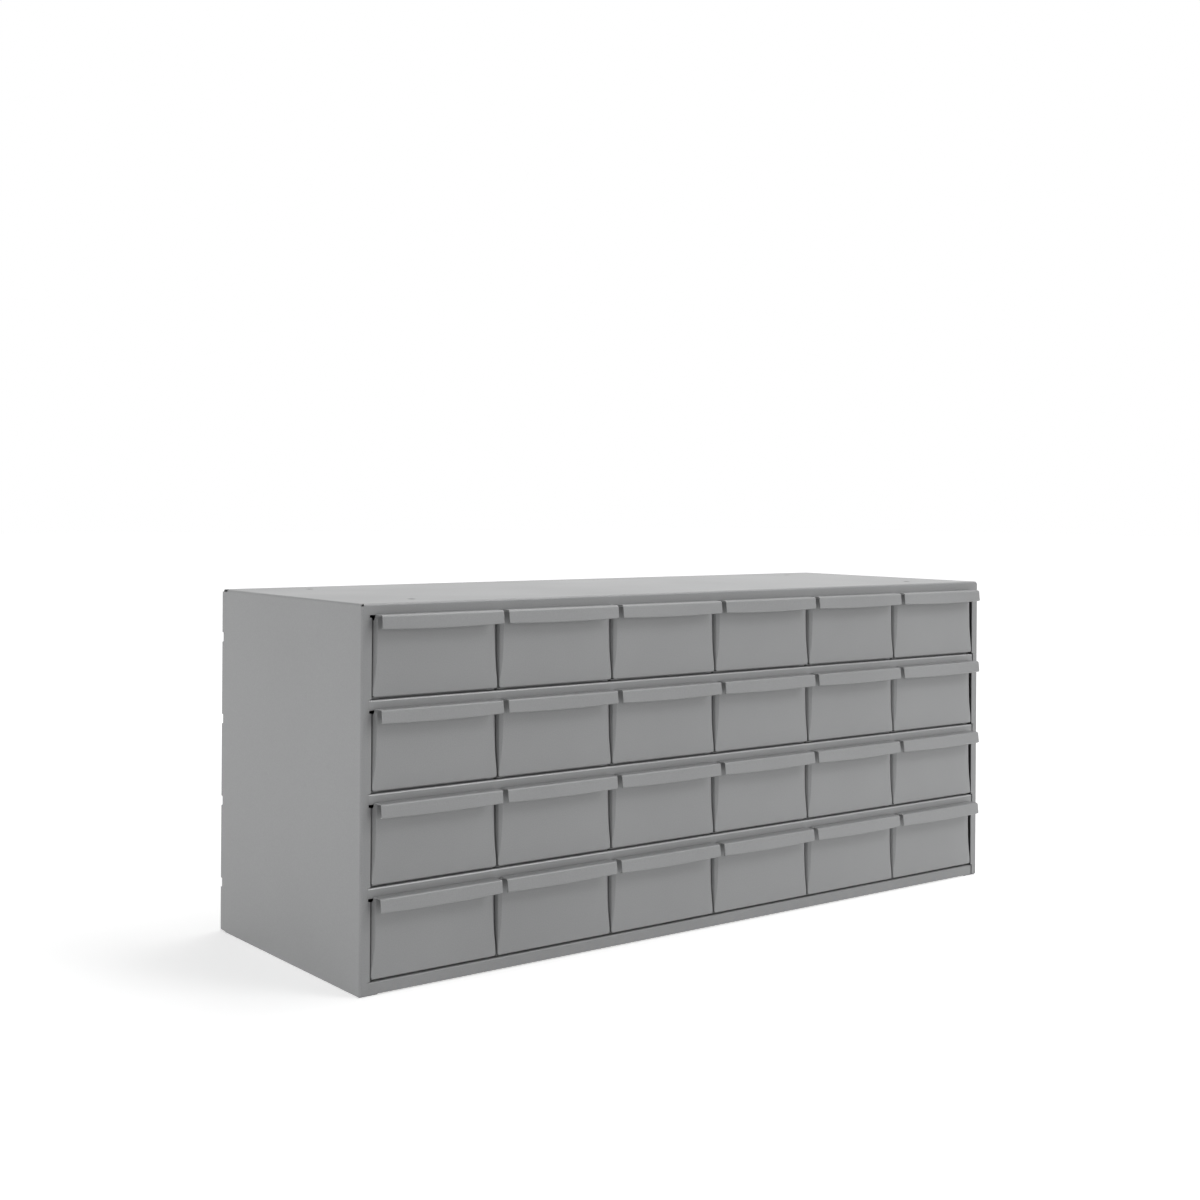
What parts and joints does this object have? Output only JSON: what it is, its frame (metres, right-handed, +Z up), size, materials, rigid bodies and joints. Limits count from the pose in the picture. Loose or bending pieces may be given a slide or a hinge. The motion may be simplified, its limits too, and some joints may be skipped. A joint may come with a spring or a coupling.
{
  "type": "parts bin cabinet",
  "caption": "Low steel storage cabinet with a grid of small drawers, each with a full-width folded pull, sliding on sheet shelves for sorting small parts.",
  "frame": {"origin": "on the ground at the middle of the cabinet's footprint, pulls included", "axes": "+X along the width to the right seen from the front, +Y to the back, +Z up; the drawers open towards -Y"},
  "size_m": [0.857, 0.3131, 0.359],
  "materials": {
    "case_paint": "satin grey baked enamel",
    "drawer_paint": "satin grey baked enamel"
  },
  "bodies": {
    "cabinet": {"case_shell": "case_paint", "back_panel": "case_paint", "base_pan": "case_paint", "shelf_1": "case_paint", "shelf_2": "case_paint", "shelf_3": "case_paint", "guides_row_1": "case_paint", "guides_row_2": "case_paint", "guides_row_3": "case_paint", "guides_row_4": "case_paint"},
    "drawer_r1c1": {"drawer_r1c1_pan": "drawer_paint", "drawer_r1c1_sides": "drawer_paint"},
    "drawer_r1c2": {"drawer_r1c2_pan": "drawer_paint", "drawer_r1c2_sides": "drawer_paint"},
    "drawer_r1c3": {"drawer_r1c3_pan": "drawer_paint", "drawer_r1c3_sides": "drawer_paint"},
    "drawer_r1c4": {"drawer_r1c4_pan": "drawer_paint", "drawer_r1c4_sides": "drawer_paint"},
    "drawer_r1c5": {"drawer_r1c5_pan": "drawer_paint", "drawer_r1c5_sides": "drawer_paint"},
    "drawer_r1c6": {"drawer_r1c6_pan": "drawer_paint", "drawer_r1c6_sides": "drawer_paint"},
    "drawer_r2c1": {"drawer_r2c1_pan": "drawer_paint", "drawer_r2c1_sides": "drawer_paint"},
    "drawer_r2c2": {"drawer_r2c2_pan": "drawer_paint", "drawer_r2c2_sides": "drawer_paint"},
    "drawer_r2c3": {"drawer_r2c3_pan": "drawer_paint", "drawer_r2c3_sides": "drawer_paint"},
    "drawer_r2c4": {"drawer_r2c4_pan": "drawer_paint", "drawer_r2c4_sides": "drawer_paint"},
    "drawer_r2c5": {"drawer_r2c5_pan": "drawer_paint", "drawer_r2c5_sides": "drawer_paint"},
    "drawer_r2c6": {"drawer_r2c6_pan": "drawer_paint", "drawer_r2c6_sides": "drawer_paint"},
    "drawer_r3c1": {"drawer_r3c1_pan": "drawer_paint", "drawer_r3c1_sides": "drawer_paint"},
    "drawer_r3c2": {"drawer_r3c2_pan": "drawer_paint", "drawer_r3c2_sides": "drawer_paint"},
    "drawer_r3c3": {"drawer_r3c3_pan": "drawer_paint", "drawer_r3c3_sides": "drawer_paint"},
    "drawer_r3c4": {"drawer_r3c4_pan": "drawer_paint", "drawer_r3c4_sides": "drawer_paint"},
    "drawer_r3c5": {"drawer_r3c5_pan": "drawer_paint", "drawer_r3c5_sides": "drawer_paint"},
    "drawer_r3c6": {"drawer_r3c6_pan": "drawer_paint", "drawer_r3c6_sides": "drawer_paint"},
    "drawer_r4c1": {"drawer_r4c1_pan": "drawer_paint", "drawer_r4c1_sides": "drawer_paint"},
    "drawer_r4c2": {"drawer_r4c2_pan": "drawer_paint", "drawer_r4c2_sides": "drawer_paint"},
    "drawer_r4c3": {"drawer_r4c3_pan": "drawer_paint", "drawer_r4c3_sides": "drawer_paint"},
    "drawer_r4c4": {"drawer_r4c4_pan": "drawer_paint", "drawer_r4c4_sides": "drawer_paint"},
    "drawer_r4c5": {"drawer_r4c5_pan": "drawer_paint", "drawer_r4c5_sides": "drawer_paint"},
    "drawer_r4c6": {"drawer_r4c6_pan": "drawer_paint", "drawer_r4c6_sides": "drawer_paint"}
  },
  "joints": [
    {"name": "drawer_r1c1_slide", "type": "slide", "parent": "cabinet", "child": "drawer_r1c1", "axis": [0, -1, 0], "range_m": [0, 0.255]},
    {"name": "drawer_r1c2_slide", "type": "slide", "parent": "cabinet", "child": "drawer_r1c2", "axis": [0, -1, 0], "range_m": [0, 0.255]},
    {"name": "drawer_r1c3_slide", "type": "slide", "parent": "cabinet", "child": "drawer_r1c3", "axis": [0, -1, 0], "range_m": [0, 0.255]},
    {"name": "drawer_r1c4_slide", "type": "slide", "parent": "cabinet", "child": "drawer_r1c4", "axis": [0, -1, 0], "range_m": [0, 0.255]},
    {"name": "drawer_r1c5_slide", "type": "slide", "parent": "cabinet", "child": "drawer_r1c5", "axis": [0, -1, 0], "range_m": [0, 0.255]},
    {"name": "drawer_r1c6_slide", "type": "slide", "parent": "cabinet", "child": "drawer_r1c6", "axis": [0, -1, 0], "range_m": [0, 0.255]},
    {"name": "drawer_r2c1_slide", "type": "slide", "parent": "cabinet", "child": "drawer_r2c1", "axis": [0, -1, 0], "range_m": [0, 0.255]},
    {"name": "drawer_r2c2_slide", "type": "slide", "parent": "cabinet", "child": "drawer_r2c2", "axis": [0, -1, 0], "range_m": [0, 0.255]},
    {"name": "drawer_r2c3_slide", "type": "slide", "parent": "cabinet", "child": "drawer_r2c3", "axis": [0, -1, 0], "range_m": [0, 0.255]},
    {"name": "drawer_r2c4_slide", "type": "slide", "parent": "cabinet", "child": "drawer_r2c4", "axis": [0, -1, 0], "range_m": [0, 0.255]},
    {"name": "drawer_r2c5_slide", "type": "slide", "parent": "cabinet", "child": "drawer_r2c5", "axis": [0, -1, 0], "range_m": [0, 0.255]},
    {"name": "drawer_r2c6_slide", "type": "slide", "parent": "cabinet", "child": "drawer_r2c6", "axis": [0, -1, 0], "range_m": [0, 0.255]},
    {"name": "drawer_r3c1_slide", "type": "slide", "parent": "cabinet", "child": "drawer_r3c1", "axis": [0, -1, 0], "range_m": [0, 0.255]},
    {"name": "drawer_r3c2_slide", "type": "slide", "parent": "cabinet", "child": "drawer_r3c2", "axis": [0, -1, 0], "range_m": [0, 0.255]},
    {"name": "drawer_r3c3_slide", "type": "slide", "parent": "cabinet", "child": "drawer_r3c3", "axis": [0, -1, 0], "range_m": [0, 0.255]},
    {"name": "drawer_r3c4_slide", "type": "slide", "parent": "cabinet", "child": "drawer_r3c4", "axis": [0, -1, 0], "range_m": [0, 0.255]},
    {"name": "drawer_r3c5_slide", "type": "slide", "parent": "cabinet", "child": "drawer_r3c5", "axis": [0, -1, 0], "range_m": [0, 0.255]},
    {"name": "drawer_r3c6_slide", "type": "slide", "parent": "cabinet", "child": "drawer_r3c6", "axis": [0, -1, 0], "range_m": [0, 0.255]},
    {"name": "drawer_r4c1_slide", "type": "slide", "parent": "cabinet", "child": "drawer_r4c1", "axis": [0, -1, 0], "range_m": [0, 0.255]},
    {"name": "drawer_r4c2_slide", "type": "slide", "parent": "cabinet", "child": "drawer_r4c2", "axis": [0, -1, 0], "range_m": [0, 0.255]},
    {"name": "drawer_r4c3_slide", "type": "slide", "parent": "cabinet", "child": "drawer_r4c3", "axis": [0, -1, 0], "range_m": [0, 0.255]},
    {"name": "drawer_r4c4_slide", "type": "slide", "parent": "cabinet", "child": "drawer_r4c4", "axis": [0, -1, 0], "range_m": [0, 0.255]},
    {"name": "drawer_r4c5_slide", "type": "slide", "parent": "cabinet", "child": "drawer_r4c5", "axis": [0, -1, 0], "range_m": [0, 0.255]},
    {"name": "drawer_r4c6_slide", "type": "slide", "parent": "cabinet", "child": "drawer_r4c6", "axis": [0, -1, 0], "range_m": [0, 0.255]}
  ]
}
